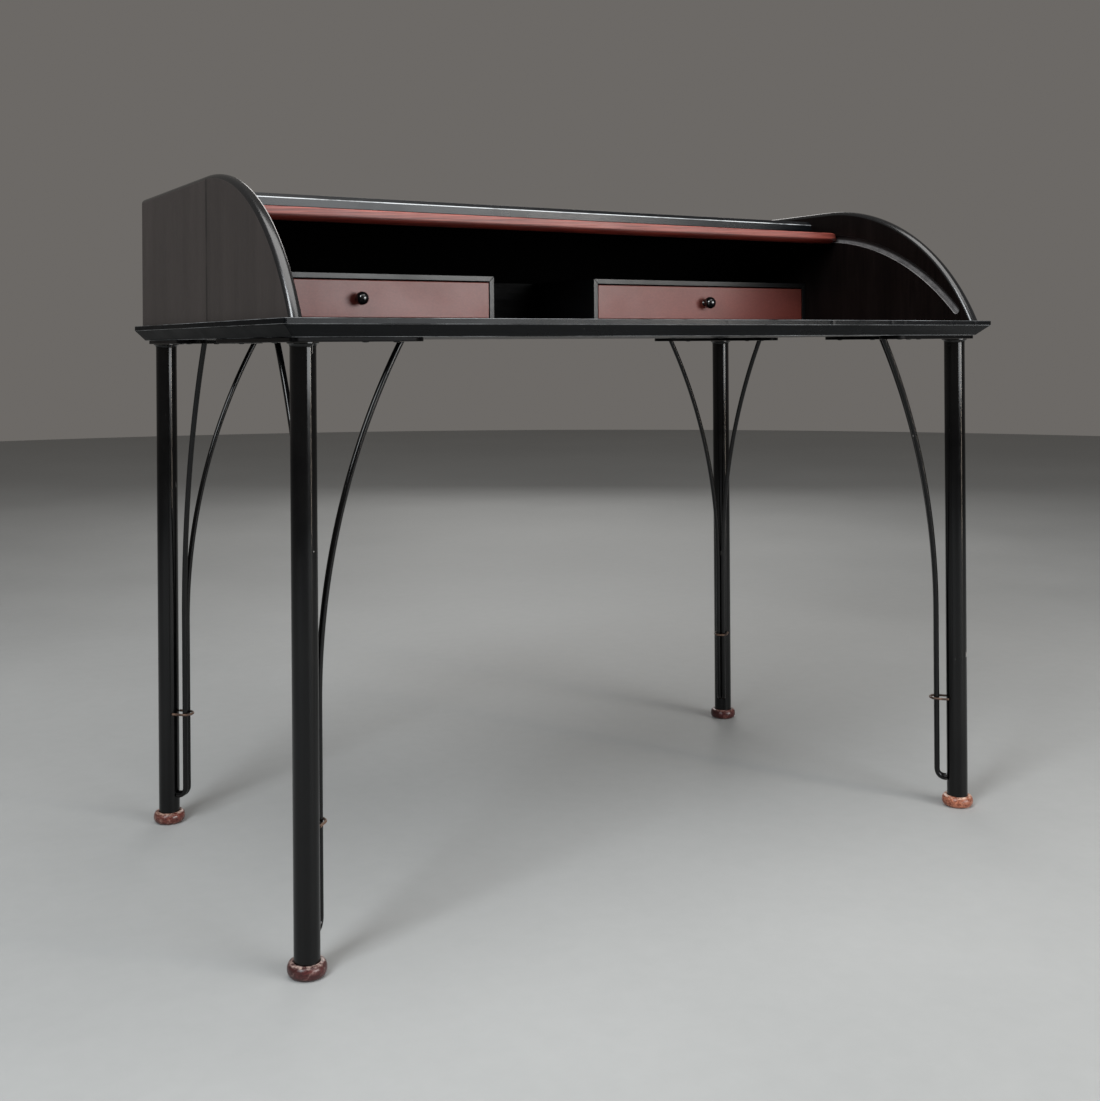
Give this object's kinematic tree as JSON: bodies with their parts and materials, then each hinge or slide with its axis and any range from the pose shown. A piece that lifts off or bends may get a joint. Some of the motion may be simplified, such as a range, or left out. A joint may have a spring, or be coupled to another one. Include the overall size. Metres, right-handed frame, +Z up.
{
  "type": "roll top desk",
  "caption": "Small roll top desk: slim moulded top on round steel legs with curved braces, quarter-round sides, a sliding tambour and small knobbed drawers.",
  "frame": {"origin": "on the floor, at the middle of the desk's box, below the middle of the desk top", "axes": "+Z is up; +X is the sitter's right, along the desk; +Y is the back of the desk, and the drawers and the tambour face -Y"},
  "size_m": [1.145, 0.642, 0.943],
  "materials": {
    "black_lacquer": "black satin lacquer over fine grain, wear along the edges",
    "dark_veneer": "dark brown-black stained veneer, satin",
    "black_steel": "black satin paint with fine nicks",
    "ring_wire": "worn red-brown wire",
    "foot_wood": "turned wood, red stain, satin",
    "rail_red": "red-stained grained wood, satin",
    "drawer_red": "burgundy stained wood, satin",
    "drawer_box": "pale plain wood, matt",
    "black_gloss": "glossy black",
    "slat_black": "black satin lacquer",
    "canvas": "black cotton canvas, matt"
  },
  "bodies": {
    "desk": {"front_left_foot": "foot_wood", "front_left_leg": "black_steel", "front_left_top_plate": "black_steel", "front_left_long_brace": "black_steel", "front_left_side_brace": "black_steel", "front_left_tie_ring": "ring_wire", "front_right_foot": "foot_wood", "front_right_leg": "black_steel", "front_right_top_plate": "black_steel", "front_right_long_brace": "black_steel", "front_right_side_brace": "black_steel", "front_right_tie_ring": "ring_wire", "back_left_foot": "foot_wood", "back_left_leg": "black_steel", "back_left_top_plate": "black_steel", "back_left_long_brace": "black_steel", "back_left_side_brace": "black_steel", "back_left_tie_ring": "ring_wire", "back_right_foot": "foot_wood", "back_right_leg": "black_steel", "back_right_top_plate": "black_steel", "back_right_long_brace": "black_steel", "back_right_side_brace": "black_steel", "back_right_tie_ring": "ring_wire", "desk_top": "black_lacquer", "front_edge_moulding": "black_lacquer", "left_edge_moulding": "black_lacquer", "right_edge_moulding": "black_lacquer", "left_side_panel": "dark_veneer", "right_side_panel": "dark_veneer", "cover_board": "black_lacquer", "back_panel": "dark_veneer", "inner_back": "dark_veneer", "left_drawer_case": "black_lacquer", "right_drawer_case": "black_lacquer"},
    "tambour": {"lead_rail": "rail_red", "slat_01": "slat_black", "slat_02": "slat_black", "slat_03": "slat_black", "slat_04": "slat_black", "slat_05": "slat_black", "slat_06": "slat_black", "slat_07": "slat_black", "slat_08": "slat_black", "slat_09": "slat_black", "slat_10": "slat_black", "slat_11": "slat_black", "canvas_backing": "canvas"},
    "left_drawer": {"left_drawer_front": "drawer_red", "left_drawer_outer_side": "drawer_box", "left_drawer_inner_side": "drawer_box", "left_drawer_back": "drawer_box", "left_drawer_bottom": "drawer_box", "left_drawer_knob": "black_gloss"},
    "right_drawer": {"right_drawer_front": "drawer_red", "right_drawer_outer_side": "drawer_box", "right_drawer_inner_side": "drawer_box", "right_drawer_back": "drawer_box", "right_drawer_bottom": "drawer_box", "right_drawer_knob": "black_gloss"}
  },
  "joints": [
    {"name": "tambour_track", "type": "hinge", "parent": "desk", "child": "tambour", "pos_m": [0, 0.0235, 0.4885], "axis": [1, 0, 0], "range_deg": [0, 42.4]},
    {"name": "left_drawer_slide", "type": "slide", "parent": "desk", "child": "left_drawer", "axis": [0, -1, 0], "range_m": [0, 0.13]},
    {"name": "right_drawer_slide", "type": "slide", "parent": "desk", "child": "right_drawer", "axis": [0, -1, 0], "range_m": [0, 0.13]}
  ]
}
